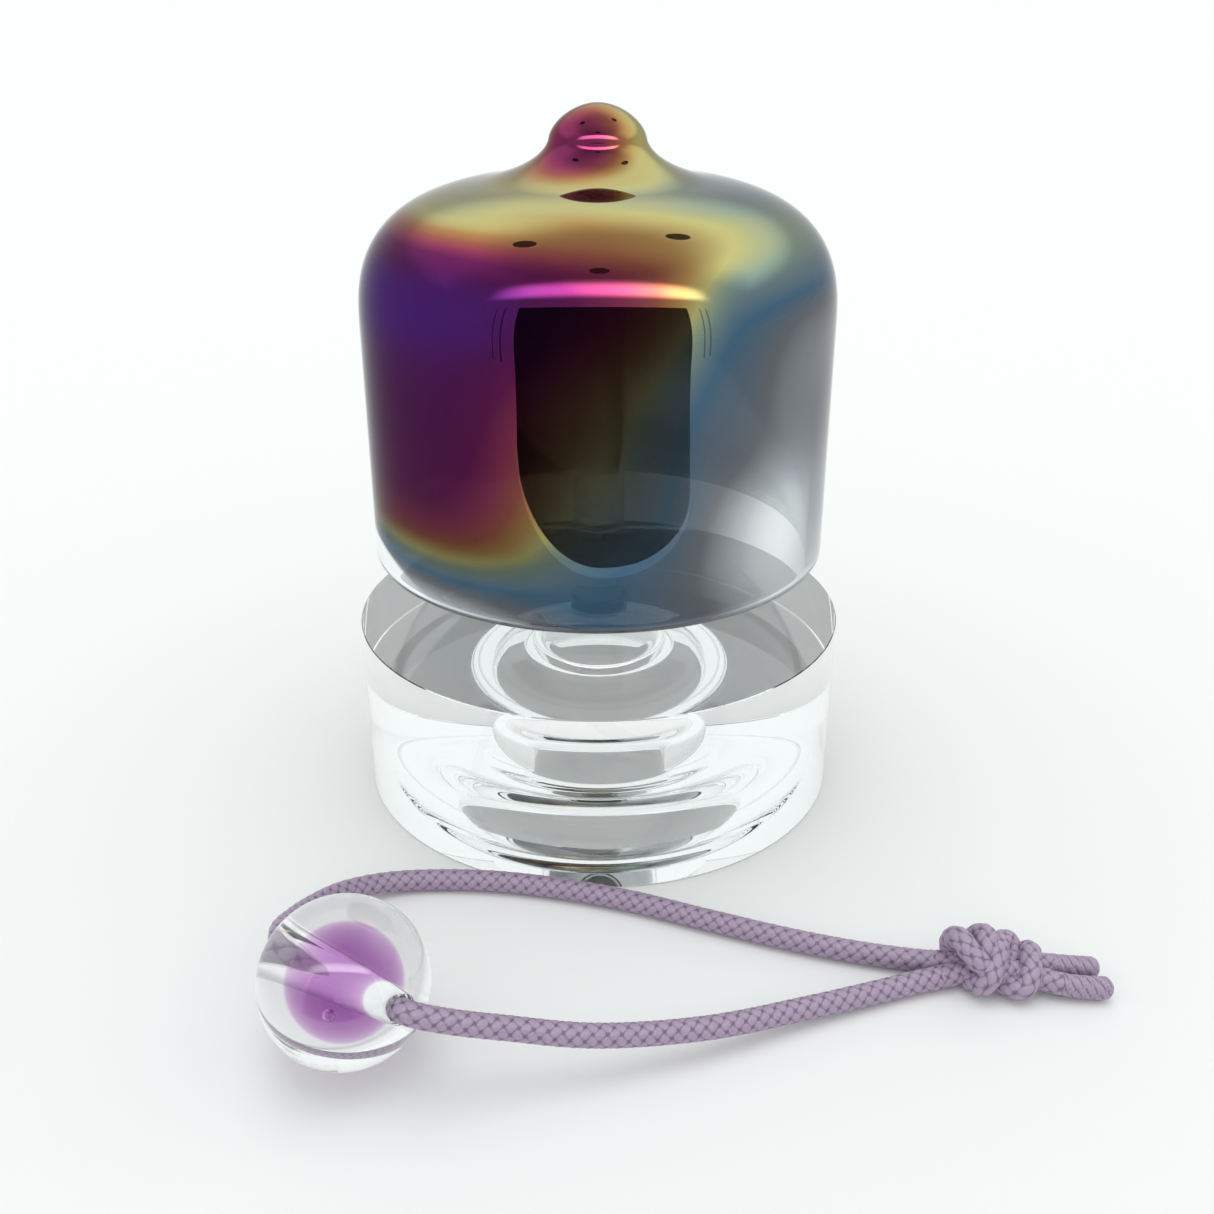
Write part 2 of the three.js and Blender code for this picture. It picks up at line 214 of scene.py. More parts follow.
# Two round spots: a thicker one on the knob, a thinner one low at the right.
KNOB_SPOT = Vector((-2.6, -5.0, 91.3)) * MM
KNOB_SPOT_REACH = (2 * MM, 8.5 * MM)
KNOB_SPOT_CHANGE = 0.25
THIN_SPOT = Vector((21.9, -25.0, 46.5)) * MM
THIN_SPOT_REACH = (1.5 * MM, 14 * MM)
THIN_SPOT_CHANGE = -0.095
DRIFT_SIZE = 25 * MM
DRIFT = 0.03
# Painted shade: factors that darken the film's colour low on the bell, standing in for its dimmer
# reflection there.
# They were fitted to the photograph, and the cause of that dimness isn't known.
WALL_PAINTED_SHADE = 0.68
WALL_HEIGHTS = (56 * MM, 82 * MM)
WALL_FILM = (0.05, 0.25)
FOOT_PAINTED_SHADE = 0.62
FOOT_HEIGHTS = (44 * MM, 56 * MM)
FOOT_FILM = (0.3, 0.42)
# The film mirrors at most this share, and its clear share is this power of one less the thickness.
MIRROR_MOST = 0.97
MIRROR_POWER = 4.5

# Stage: a pale floor in a white box, whose bright ceiling and dark mouth the mirror film shows.
BOX_WHITE = "#f9fdfd"
FLOOR_SIZE = 60.0
FLOOR_DROP = 0.1 * MM
MOUTH_GREY = "#44444a"
MOUTH_PLACE = -190 * MM
MOUTH_SIDES = (-134 * MM, 162 * MM)
MOUTH_TOP = 169 * MM
SILL_GREY = "#2c2c30"
# The sill reaches this near the bell's middle line, and its two ends stop farther off.
SILL_NEAR = 136 * MM
SILL_EDGES = (212 * MM, 176 * MM)
SILL_FULLNESS = 2.2
SILL_LIFT = 0.2 * MM
SILL_STEPS = (64, 6)
SILL_BORDER = 5 * MM
SILL_BORDER_GLOW = 1.5
# Folds of the box's front, as place and width.
FOLDS = [(-168 * MM, 5 * MM), (-192 * MM, 4 * MM), (200 * MM, 4 * MM), (222 * MM, 5 * MM)]
FOLD_GREY = "#a4a4a8"
FOLD_FOOT = 20 * MM
LAMP_PLACE = -300 * MM
LAMP_HEIGHTS = (285 * MM, 520 * MM)
LAMP_CREST = (350 * MM, 380 * MM)
LAMP_SIDES = (-440 * MM, 460 * MM)
LAMP_ENDS = 260 * MM
LAMP_STRENGTH = 7.5
CEILING = 230 * MM
CEILING_FRONT = -118 * MM
CEILING_BACK = 400 * MM
CEILING_SIDES = (-400 * MM, 400 * MM)
CEILING_GLOW = 1.7
# The ceiling is dim about this place and fades again far from it.
CEILING_DIM_PLACE = (5 * MM, -40 * MM, CEILING)
CEILING_DIM = 0.55
CEILING_DIM_REACH = (60 * MM, 150 * MM)
CEILING_FADE = (220 * MM, 400 * MM)
STUDS = [(-57 * MM, 10 * MM), (58 * MM, 37 * MM), (2 * MM, -86 * MM)]
STUD_GREY = "#606062"
STUD_RADIUS = 11 * MM
STUD_DROP = STUD_RADIUS / 4
STUD_SIDES = 24
WORLD_LIGHT = 0.97
SUN_ANGLE = math.radians(40)
SUN_ENERGY = 0.38

# Settings of nodes that are used again and again.
SMOOTH = {"interpolation_type": "SMOOTHSTEP"}
ADD = {"operation": "ADD"}
SUBTRACT = {"operation": "SUBTRACT"}
MULTIPLY = {"operation": "MULTIPLY"}
DISTANCE = {"operation": "DISTANCE"}


def make_camera():
    """The camera, where the photograph was taken from."""
    camera = bpy.data.cameras.new("camera")
    camera.sensor_width = SENSOR
    camera.lens = SENSOR * PHOTO_FOCAL / PHOTO_WIDTH
    camera.clip_start = CAMERA_CLIP
    holder = bpy.data.objects.new("camera", camera)
    holder.location = CAMERA_PLACE
    holder.rotation_euler = (CAMERA_PITCH, 0, 0)
    bpy.context.scene.collection.objects.link(holder)
    bpy.context.scene.camera = holder


def add_node(tree, kind, settings=None, inputs=None):
    """Adds a node with its settings, and sets or links its inputs, given in order or by name or place."""
    node = tree.nodes.new(kind)
    for name, value in (settings or {}).items():
        setattr(node, name, value)
    if isinstance(inputs, list):
        inputs = dict(enumerate(inputs))
    for name, value in (inputs or {}).items():
        if isinstance(value, bpy.types.Node):
            value = value.outputs[0]
        if isinstance(value, bpy.types.NodeSocket):
            tree.links.new(value, node.inputs[name])
        else:
            node.inputs[name].default_value = value
    return node


def linear(colour):
    """An sRGB hex value as linear red, green, blue and alpha."""
    channels = [int(colour[i:i + 2], 16) / 255 for i in (1, 3, 5)]
    low = [c / 12.92 for c in channels]
    high = [((c + 0.055) / 1.055) ** 2.4 for c in channels]
    return [h if c > 0.04045 else d for c, d, h in zip(channels, low, high)] + [1]


def new_material(name):
    """An empty node material, with its tree and its output."""
    material = bpy.data.materials.new(name)
    material.use_nodes = True
    tree = material.node_tree
    tree.nodes.clear()
    return material, tree, add_node(tree, "ShaderNodeOutputMaterial")


def set_ramp(ramp, stops):
    """Gives a colour ramp node its stops, as places with sRGB hex values."""
    elements = ramp.color_ramp.elements
    while len(elements) < len(stops):
        elements.new(1)
    for element, (place, colour) in zip(elements, stops):
        element.position = place
        element.color = linear(colour)


def set_profile(curve, points):
    """Gives a curve node the film's thickness by height."""
    marks = curve.mapping.curves[0].points
    marks[0].location = (0, points[0][1])
    marks[1].location = (1, points[-1][1])
    for rise, share in points[1:]:
        marks.new((rise * MM - FILM_FOOT) / FILM_SPAN, share)
    curve.mapping.update()


def crystal_glass():
    """Lead-free crystal, pressed and polished: colourless, with sharp reflections and bright edges."""
    material, tree, output = new_material("crystal_glass")
    glass = add_node(tree, "ShaderNodeBsdfPrincipled", inputs={
        "Base Color": linear("#fcfdfd"),
        "Roughness": 0.0,
        "IOR": 1.52,
        "Transmission Weight": 1.0,
    })
    tree.links.new(glass.outputs[0], output.inputs["Surface"])
    return material


def blown_glass():
    """Borosilicate, blown and fire polished: the bell's bare inner wall and the underside of its rim."""
    material, tree, output = new_material("blown_glass")
    glass = add_node(tree, "ShaderNodeBsdfPrincipled", inputs={
        "Base Color": linear("#fbfdfd"),
        "Roughness": 0.0,
        "IOR": 1.47,
        "Transmission Weight": 1.0,
    })
    tree.links.new(glass.outputs[0], output.inputs["Surface"])
    return material


def film_thickness(tree, bell_radius):
    """The film's thickness, most at the bell's left front and least at its far side, and the height."""
    place = add_node(tree, "ShaderNodeTexCoord").outputs["Object"]
    axes = add_node(tree, "ShaderNodeSeparateXYZ", inputs=[place])
    height = axes.outputs["Z"]
    climb = add_node(tree, "ShaderNodeMapRange", inputs=[height, FILM_FOOT, FILM_FOOT + FILM_SPAN])
    side = add_node(tree, "ShaderNodeVectorMath", {"operation": "DOT_PRODUCT"}, [
        place, FILM_SIDE / bell_radius]).outputs["Value"]
    swing = add_node(tree, "ShaderNodeMapRange", SMOOTH, [height, *SWING_HEIGHTS, 0.0, SWING])
    slant = add_node(tree, "ShaderNodeMath", ADD, [side, swing])
    film = add_node(tree, "ShaderNodeFloatCurve", inputs={"Value": climb})
    set_profile(film, FILM_FAR)
    for points, guide, blend in (
            (FILM_RIGHT, side, RIGHT_BLEND),
            (FILM_FRONT, slant, FRONT_BLEND),
            (FILM_LEFT, slant, LEFT_BLEND)):
        profile = add_node(tree, "ShaderNodeFloatCurve", inputs={"Value": climb})
        set_profile(profile, points)
        share = add_node(tree, "ShaderNodeMapRange", SMOOTH, [guide, *blend])
        film = add_node(tree, "ShaderNodeMix", inputs={0: share, 2: film, 3: profile})
    hem = add_node(tree, "ShaderNodeMapRange", SMOOTH, [
        axes.outputs["X"], -bell_radius, -HEM_END * bell_radius, HEM_RISE, 0.0])
    above = add_node(tree, "ShaderNodeMath", SUBTRACT, [height, hem])
    start = add_node(tree, "ShaderNodeMapRange", SMOOTH, [above, *FILM_START])
    film = add_node(tree, "ShaderNodeMath", MULTIPLY, [film, start])
    for spot, reach, change in (
            (KNOB_SPOT, KNOB_SPOT_REACH, KNOB_SPOT_CHANGE),
            (THIN_SPOT, THIN_SPOT_REACH, THIN_SPOT_CHANGE)):
        far = add_node(tree, "ShaderNodeVectorMath", DISTANCE, [place, spot]).outputs["Value"]
        bump = add_node(tree, "ShaderNodeMapRange", SMOOTH, [far, *reach, change, 0.0])
        film = add_node(tree, "ShaderNodeMath", ADD, [film, bump])
    drift = add_node(tree, "ShaderNodeTexNoise", inputs={
        "Vector": place, "Scale": 1 / DRIFT_SIZE, "Detail": 1.0}).outputs["Fac"]
    uneven = add_node(tree, "ShaderNodeMapRange", inputs={
        "Value": drift, "To Min": -DRIFT, "To Max": DRIFT})
    film = add_node(tree, "ShaderNodeMath", {"operation": "ADD", "use_clamp": True}, [film, uneven])
    return film, height


def iridescent_glass(bell_radius):
    """Glass with a vacuum-coated oxide film: a coloured half mirror whose hue follows the thickness, with
    painted shade low on the bell.
    """
    material, tree, output = new_material("iridescent_glass")
    thickness, height = film_thickness(tree, bell_radius)
    ramp = add_node(tree, "ShaderNodeValToRGB", inputs=[thickness])
    set_ramp(ramp, FILM_COLOURS)
    tint = ramp.outputs["Color"]
    # Painted shade: the film's colour is darkened low on the bell, where its thickness lies in the given
    # range.
    for limits, heights, least in (
            (WALL_FILM, WALL_HEIGHTS, WALL_PAINTED_SHADE),
            (FOOT_FILM, FOOT_HEIGHTS, FOOT_PAINTED_SHADE)):
        coated = add_node(tree, "ShaderNodeMapRange", SMOOTH, [thickness, *limits])
        shade_by_height = add_node(tree, "ShaderNodeMapRange", SMOOTH, [height, *heights, least, 1.0])
        shade = add_node(tree, "ShaderNodeMix", inputs={0: coated, 2: 1.0, 3: shade_by_height})
        tint = add_node(tree, "ShaderNodeMix", {"data_type": "RGBA", "blend_type": "MULTIPLY"}, {
            0: 1.0, 6: tint, 7: shade}).outputs[2]
    left_over = add_node(tree, "ShaderNodeMath", SUBTRACT, [1.0, thickness])
    clear = add_node(tree, "ShaderNodeMath", {"operation": "POWER"}, [left_over, MIRROR_POWER])
    mirror = add_node(tree, "ShaderNodeMapRange", inputs={
        "Value": clear, "To Min": MIRROR_MOST, "To Max": 0.0})
    glass = add_node(tree, "ShaderNodeBsdfPrincipled", inputs={
        "Base Color": tint,
        "Metallic": mirror,
        "Roughness": 0.0,
        "IOR": 1.47,
        "Transmission Weight": 1.0,
        "Specular Tint": linear("#d0ced2"),
    })
    tree.links.new(glass.outputs[0], output.inputs["Surface"])
    return material


def clear_silicone():
    """Silicone rubber, cast: clear but soft, so it blurs what lies behind it."""
    material, tree, output = new_material("clear_silicone")
    rubber = add_node(tree, "ShaderNodeBsdfPrincipled", inputs={
        "Base Color": linear("#eef2f4"),
        "Roughness": 0.12,
        "IOR": 1.41,
        "Transmission Weight": 0.9,
    })
    tree.links.new(rubber.outputs[0], output.inputs["Surface"])
    return material


def violet_glass():
    """Soda glass stained with manganese: its violet deepens with the way through it."""
    material, tree, output = new_material("violet_glass")
    stain = add_node(tree, "ShaderNodeVolumeAbsorption", inputs={
        "Color": linear("#cb59d4"), "Density": 265.0})
    tree.links.new(stain.outputs[0], output.inputs["Volume"])
    return material


def waxed_cord():
    """Braided polyester cord, waxed: mauve plaits with a soft gloss, and painted shade in the dark lines
    between them.
    """
    material, tree, output = new_material("waxed_cord")
    plait_height = add_node(tree, "ShaderNodeAttribute", {"attribute_name": "plait_height"}).outputs["Fac"]
    crest = add_node(tree, "ShaderNodeMapRange", SMOOTH, [plait_height, *PLAIT_SHADE_RANGE])
    object_place = add_node(tree, "ShaderNodeTexCoord").outputs["Object"]
    wax = add_node(tree, "ShaderNodeTexNoise", inputs={
        "Vector": object_place, "Scale": 1 / WAX_GRAIN, "Detail": 2.0}).outputs["Fac"]
    strands = add_node(tree, "ShaderNodeValToRGB", inputs=[wax])
    set_ramp(strands, [(0.3, "#a28ca6"), (0.7, "#ae9ab2")])
    # Painted shade: the low lines between the plaits take a darker colour.
    colour = add_node(tree, "ShaderNodeMix", {"data_type": "RGBA"}, {
        0: crest, 6: linear("#6f5e78"), 7: strands}).outputs[2]
    cord = add_node(tree, "ShaderNodeBsdfPrincipled", inputs={
        "Base Color": colour,
        "Roughness": 0.52,
        "Sheen Weight": 0.15,
        "Sheen Roughness": 0.4,
    })
    tree.links.new(cord.outputs[0], output.inputs["Surface"])
    return material


def arc(centre, radius, start, end):
    """Points of a round corner between two angles in degrees."""
    turns = np.radians(np.linspace(start, end, ARC_POINTS))
    return [(centre[0] + radius * math.cos(a), centre[1] + radius * math.sin(a)) for a in turns]


def bezier(*handles):
    """Points of a cubic curve between its two ends, the first left out."""
    a, b, c, d = (np.array(h) for h in handles)
    shares = np.linspace(0, 1, CURVE_POINTS + 1)[1:]
    return [tuple((1 - t) ** 3 * a + 3 * t * (1 - t) ** 2 * b + 3 * t * t * (1 - t) * c + t ** 3 * d)
            for t in shares]


def spun(name, profile, closed=False):
    """A piece turned about the Z axis from a profile of radius and height."""
    form = bmesh.new()
    points = [form.verts.new((max(r, 0), 0, z)) for r, z in profile]
    edges = [form.edges.new(pair) for pair in zip(points, points[1:])]
    if closed:
        edges.append(form.edges.new((points[-1], points[0])))
    bmesh.ops.spin(
        form, geom=points + edges, axis=(0, 0, 1), angle=math.tau, steps=ROUND_STEPS, use_merge=True)
    bmesh.ops.remove_doubles(form, verts=form.verts, dist=MERGE_DISTANCE)
    bmesh.ops.dissolve_degenerate(form, edges=form.edges, dist=MERGE_DISTANCE)
    bmesh.ops.recalc_face_normals(form, faces=form.faces)
    return made(name, form)


def made(name, form):
    """Turns a bmesh into a smooth object at the origin."""
    mesh = bpy.data.meshes.new(name)
    form.to_mesh(mesh)
    form.free()
    mesh.shade_smooth()
    mesh.set_sharp_from_angle(angle=SHARP_ANGLE)
    piece = bpy.data.objects.new(name, mesh)
    bpy.context.scene.collection.objects.link(piece)
    return piece


def stand_for(piece, body, slot, *nodes):
    """Lets a piece move with a body and stand for CAD nodes, which it hides; the slot is not used."""
    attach(piece, body)
    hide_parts(*nodes)


def make_base(glass):
    """The round base, with a wide recess in its underside and a deeper well in the recess."""
    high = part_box("base_block")[1]
    radius, top = high.x, high.z
    profile = [(0, WELL_DEPTH)]
    profile += arc((WELL_RADIUS - WELL_CORNER, WELL_DEPTH - WELL_CORNER), WELL_CORNER, 90, 0)
    profile += arc((WELL_RADIUS + WELL_LIP, RECESS_DEPTH + WELL_LIP), WELL_LIP, 180, 270)
    profile += arc((RECESS_RADIUS - RECESS_CORNER, RECESS_DEPTH - RECESS_CORNER), RECESS_CORNER, 90, 0)
    profile += [(RECESS_RADIUS, 0), (radius - BASE_EDGE, 0), (radius, BASE_EDGE)]
    profile += [(radius, top - BASE_EDGE), (radius - BASE_EDGE, top), (0, top)]
    base = spun("crystal_base", profile)
    base.data.materials.append(glass)
    stand_for(base, "stand", "clear_glass", "base_block")


def make_post(glass):
    """The clear rod that carries the bell, with its edges eased."""
    low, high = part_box("support_post")
    radius, foot, top = high.x, low.z, high.z
    rod = spun("clear_post", [
        (0, foot), (radius - POST_EDGE, foot), (radius, foot + POST_EDGE),
        (radius, top - POST_EDGE), (radius - POST_EDGE, top), (0, top)])
    rod.data.materials.append(glass)
    stand_for(rod, "stand", "clear_rod", "support_post")


def make_collar(rubber):
    """The thin ring round the post's foot."""
    low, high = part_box("post_collar")
    inner = high.x - COLLAR_WALL
    ring = spun("foot_collar", [
        (inner, low.z), (high.x, low.z), (high.x, high.z - COLLAR_WALL / 2),
        (high.x - COLLAR_WALL / 2, high.z), (inner, high.z)], closed=True)
    ring.data.materials.append(rubber)
    stand_for(ring, "stand", "clear_silicone", "post_collar")


def make_cap(rubber):
    """The soft cap on the post's tip, rounded at its top."""
    low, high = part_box("post_cap")
    inner = high.x - CAP_WALL
    profile = [(0, high.z - CAP_TOP), (inner, high.z - CAP_TOP), (inner, low.z), (high.x, low.z)]
    profile += [(high.x, high.z - CAP_WALL)]
    profile += arc((high.x - CAP_WALL, high.z - CAP_WALL), CAP_WALL, 0, 90)
    profile += [(0, high.z)]
    cap = spun("tip_cap", profile)
    cap.data.materials.append(rubber)
    stand_for(cap, "post_tip", "clear_silicone", "post_cap")


def shoulder(inset, radius, crown, wall_top):
    """One face of the bell's wall from the straight part over the shoulder to the knob's foot."""
    outer = radius - inset
    foot = crown - inset - SHOULDER_HEIGHT
    low, high = SHOULDER_HANDLES
    return bezier(
        (outer, wall_top),
        (outer, foot + low * SHOULDER_HEIGHT),
        (outer, foot + high * SHOULDER_HEIGHT),
        (KNOB_FOOT_RADIUS, crown - inset))


def knob_outside(crown, top):
    """The bell's outer face from the knob's foot over its waist to its top."""
    waist = crown + KNOB_WAIST * KNOB_HEIGHT
    inward, rise = KNOB_FOOT_HANDLE
    foot_handle = (
        KNOB_FOOT_RADIUS - inward * (KNOB_FOOT_RADIUS - KNOB_RADIUS), crown + rise * KNOB_HEIGHT)
    neck_handle, cheek_handle = (
        (across * KNOB_RADIUS, crown + up * KNOB_HEIGHT)
        for across, up in (KNOB_NECK_HANDLE, KNOB_CHEEK_HANDLE))
    flare = bezier((KNOB_FOOT_RADIUS, crown), foot_handle, neck_handle, (KNOB_RADIUS, waist))
    head = bezier((KNOB_RADIUS, waist), cheek_handle, (KNOB_TOP_HANDLE * KNOB_RADIUS, top), (0, top))
    return flare + head


def knob_inside(crown, top):
    """The bell's inner face from the knob's foot into the socket that sits on the post's cap."""
    mouth = crown - BELL_WALL + SOCKET_MOUTH * KNOB_HEIGHT
    socket_top = top - CROWN_WALL
    flare = bezier(
        (KNOB_FOOT_RADIUS, crown - BELL_WALL),
        (KNOB_FOOT_RADIUS - SOCKET_HANDLE * (KNOB_FOOT_RADIUS - SOCKET_RADIUS), mouth),
        (SOCKET_RADIUS, mouth),
        (SOCKET_RADIUS, mouth + SOCKET_FLARE))
    corner = arc((SOCKET_RADIUS - SOCKET_CORNER, socket_top - SOCKET_CORNER), SOCKET_CORNER, 0, 90)
    return flare + corner + [(0, socket_top)]


def make_bell(coated, bare):
    """The blown dome with its hollow knob, bare inside and coated outside."""
    low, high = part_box("bell_dome")
    radius, rim, top = high.x, low.z, high.z
    crown = top - KNOB_HEIGHT
    wall_top = crown - SHOULDER_HEIGHT
    wall = np.linspace(rim + WALL_FOOT, wall_top, WALL_STEPS)
    outside = [(radius, z) for z in wall]
    outside += shoulder(0, radius, crown, wall_top) + knob_outside(crown, top)
    inside = [(radius - BELL_WALL, z) for z in wall]
    inside += shoulder(BELL_WALL, radius, crown, wall_top) + knob_inside(crown, top)
    lip = arc((radius - LIP_RADIUS, rim + LIP_RADIUS), LIP_RADIUS, 180, 360)
    bell = spun("bell_dome_glass", inside[::-1] + lip + outside)
    bell.data.materials.append(bare)
    bell.data.materials.append(coated)
    for face in bell.data.polygons:
        face.material_index = int(faces_out(face, rim))
    stand_for(bell, "bell", "coated_glass", "bell_dome")


def faces_out(face, rim):
    """True for a face of the bell's outer side, which holds the film."""
    outward = face.normal.x * face.center.x + face.normal.y * face.center.y
    if face.center.z < rim + FILM_ON_LIP:
        return False
    if Vector((face.center.x, face.center.y)).length < KNOB_ZONE:
        return face.normal.z > 0 or outward > 0
    return outward > 0 or face.normal.z > CROWN_SLOPE


def bored_ball(name, radius, bore, count):
    """A ball with a bore through it, turned from an arc and laid where the bead lies."""
    low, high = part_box("bead_shell")
    turn = Vector((0, 0, 1)).rotation_difference(BORE_AXIS).to_matrix().to_4x4()
    end = math.degrees(math.acos(bore / radius))
    angles = np.radians(np.linspace(-end, end, count))
    ball = spun(name, [(radius * math.cos(a), radius * math.sin(a)) for a in angles], closed=True)
    ball.data.transform(Matrix.Translation((low + high) / 2) @ turn)
    return ball


def make_bead(glass, stain):
    """The bead's clear shell with a seed of air in it, and its violet core."""
    low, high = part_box("bead_shell")
    shell = bored_ball("bead_glass_shell", (high.z - low.z) / 2, BORE_RADIUS, SHELL_POINTS)
    add_bubble(shell, (low + high) / 2 + BUBBLE_PLACE)
    shell.data.materials.append(glass)
    stand_for(shell, "striker_bead", "bead_glass", "bead_shell")
    core = bored_ball("bead_violet_core", CORE_RADIUS, BORE_RADIUS + CORE_GAP, CORE_POINTS)
    core.data.materials.append(stain)
    stand_for(core, "striker_bead", "violet_glass", "bead_core")
    return shell, core


def add_bubble(shell, place):
    """A seed of air in the bead's glass: a small hollow whose faces look inwards."""
    form = bmesh.new()
    form.from_mesh(shell.data)
    around, down = BUBBLE_STEPS
    hollow = bmesh.ops.create_uvsphere(
        form, u_segments=around, v_segments=down, radius=BUBBLE_RADIUS, matrix=Matrix.Translation(place))
    inner = {face for point in hollow["verts"] for face in point.link_faces}
    for face in inner:
        face.smooth = True
    bmesh.ops.reverse_faces(form, faces=list(inner))
    form.to_mesh(shell.data)
    form.free()


def cord_points(points):
    """Evenly spaced points of the smooth curve through a route's points, by centripetal Catmull-Rom."""
    knots = np.array(points, float) * MM
    padded = np.vstack([2 * knots[0] - knots[1], knots, 2 * knots[-1] - knots[-2]])
    fine = []
    for a, b, c, d in zip(padded, padded[1:], padded[2:], padded[3:]):
        before, along, after = (math.sqrt(np.linalg.norm(q - p)) for p, q in ((a, b), (b, c), (c, d)))
        leave = along * ((b - a) / before - (c - a) / (before + along) + (c - b) / along)
        reach = along * ((c - b) / along - (d - b) / (along + after) + (d - c) / after)
        for t in np.linspace(0, 1, ROUTE_STEPS, endpoint=False):
            fine.append((2 * t ** 3 - 3 * t * t + 1) * b + (t ** 3 - 2 * t * t + t) * leave
                        + (3 * t * t - 2 * t ** 3) * c + (t ** 3 - t * t) * reach)
    fine = np.array(fine + [knots[-1]])
    way = np.concatenate([[0], np.cumsum(np.linalg.norm(np.diff(fine, axis=0), axis=1))])
    count = max(2, round(way[-1] / CORD_STEP))
    even = np.linspace(0, way[-1], count + 1)
    return np.column_stack([np.interp(even, way, fine[:, i]) for i in range(3)])


def whole_cord():
    """The cord's centre line from tail to tail, and the places on it where its stretches part."""
    low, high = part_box("bead_shell")
    centre = np.array((low + high) / 2) / MM
    reach = (high.z - low.z) / 2 / MM + BORE_REACH / MM
    bore = [tuple(centre + share * reach * np.array(BORE_AXIS)) for share in (1, 1 / 3, -1 / 3, -1)]
    runs = [TAIL_FRONT, KNOT_FRONT, FRONT_STRAND + bore + BACK_STRAND, KNOT_BACK, TAIL_BACK]
    line = cord_points([point for run in runs for point in run])
    joins = [TAIL_FRONT[-1], FRONT_STRAND[0], BACK_STRAND[-1], TAIL_BACK[0]]
    cuts = [int(np.argmin(np.linalg.norm(line - np.array(join) * MM, axis=1))) for join in joins]
    return line, cuts


def plait(own, other):
    """Height of one set of plaits: each is round, and passes over and under the other set by turns."""
    number = np.floor(own)
    across = 2 * (own - number) - 1
    return PLAIT_ROUND * np.sqrt(1 - across ** 2) + PLAIT_WAVE * np.cos(math.pi * (other - 0.5 + number))


def braid_height(along, around):
    """How high the upper of the two sets of plaits stands at each place."""
    first = along / PLAIT_LENGTH + PLAITS * around
    second = along / PLAIT_LENGTH - PLAITS * around
    return np.maximum(plait(first, second), plait(second, first + 1))


def cord_piece(name, line, start, end, tips=(False, False)):
    """A braided stretch of the cord between two places on its centre line."""
    stretch = line[start:end + 1]
    curve = bpy.data.curves.new(name, "CURVE")
    curve.dimensions = "3D"
    curve.bevel_depth = CORD_DIAMETER / 2
    curve.bevel_resolution = CORD_RING
    curve.use_fill_caps = True
    spline = curve.splines.new("POLY")
    spline.points.add(len(stretch) - 1)
    spline.points.foreach_set("co", np.column_stack([stretch, np.ones(len(stretch))]).ravel())
    way = np.arange(len(stretch)) * CORD_STEP
    ease = np.ones(len(stretch))
    for at_tip, far in zip(tips, (way, way[::-1])):
        if at_tip:
            near = np.clip(1 - far / TIP_ROUNDING, 0, 1)
            ease = np.minimum(ease, np.sqrt(1 - TIP_DEPTH * near ** 2))
    spline.points.foreach_set("radius", ease)
    guide = bpy.data.objects.new(name + "_guide", curve)
    bpy.context.scene.collection.objects.link(guide)
    bpy.context.view_layer.update()
    mesh = bpy.data.meshes.new_from_object(guide.evaluated_get(bpy.context.evaluated_depsgraph_get()))
    bpy.data.objects.remove(guide)
    braid(mesh, stretch, start)
    mesh.name = name
    piece = bpy.data.objects.new(name, mesh)
    bpy.context.scene.collection.objects.link(piece)
    return piece


def braid(mesh, stretch, start):
    """Raises the plaits on a plain tube and notes how high they stand."""
    places = np.empty(len(mesh.vertices) * 3)
    mesh.vertices.foreach_get("co", places)
    places = places.reshape(-1, 3)
    ring = len(places) // len(stretch)
    tube = places[:ring * len(stretch)].reshape(len(stretch), ring, 3)
    outward = tube - stretch[:, None]
    radius = np.linalg.norm(outward, axis=2, keepdims=True)
    along = (start + np.arange(len(stretch)))[:, None] * CORD_STEP
    around = np.arange(ring)[None, :] / ring
    height = braid_height(along, around)
    full = PLAIT_ROUND + PLAIT_WAVE
    tube += outward / radius * (height - full)[:, :, None]
    mesh.vertices.foreach_set("co", places.ravel())
    shares = np.ones(len(places))
    shares[:height.size] = (height / full).ravel()
    layer = mesh.attributes.new("plait_height", "FLOAT", "POINT")
    layer.data.foreach_set("value", shares)
    mesh.shade_smooth()


def make_cord(wax):
    """The loop, its knot and its two tails, all from the one centre line."""
    line, (tail_end, loop_start, loop_end, tail_start) = whole_cord()
    loop = cord_piece("braided_loop", line, loop_start, loop_end)
    knot_front = cord_piece("knot_front_strand", line, tail_end, loop_start)
    knot_back = cord_piece("knot_back_strand", line, loop_end, tail_start)
    tail_front = cord_piece("braided_tail_front", line, 0, tail_end, tips=(True, False))
    tail_back = cord_piece("braided_tail_back", line, tail_start, len(line) - 1, tips=(False, True))
    stand_for(loop, "striker_cord", "waxed_cord", "cord_loop")
    stand_for(knot_front, "striker_cord", "waxed_cord", "cord_knot")
    stand_for(knot_back, "striker_cord", "waxed_cord", "cord_knot")
    stand_for(tail_front, "striker_cord", "waxed_cord", "cord_tail_front")
    stand_for(tail_back, "striker_cord", "waxed_cord", "cord_tail_back")
    others = [knot_front, knot_back, tail_front, tail_back]
    for piece in [loop, *others]:
        piece.data.materials.append(wax)
    return loop, others, line[loop_start:loop_end + 1]


def make_floor():
    """A matt white floor, just below the part."""
    material, tree, output = new_material("white_floor")
    paper = add_node(tree, "ShaderNodeBsdfPrincipled", inputs={
        "Base Color": linear("#f7f7f6"), "Roughness": 1.0, "Specular IOR Level": 0.0})
    tree.links.new(paper.outputs[0], output.inputs["Surface"])
    form = bmesh.new()
    bmesh.ops.create_grid(form, x_segments=1, y_segments=1, size=FLOOR_SIZE / 2)
    bmesh.ops.translate(form, verts=form.verts, vec=(0, 0, -FLOOR_DROP))
    floor = made("floor", form)
    floor.data.materials.append(material)


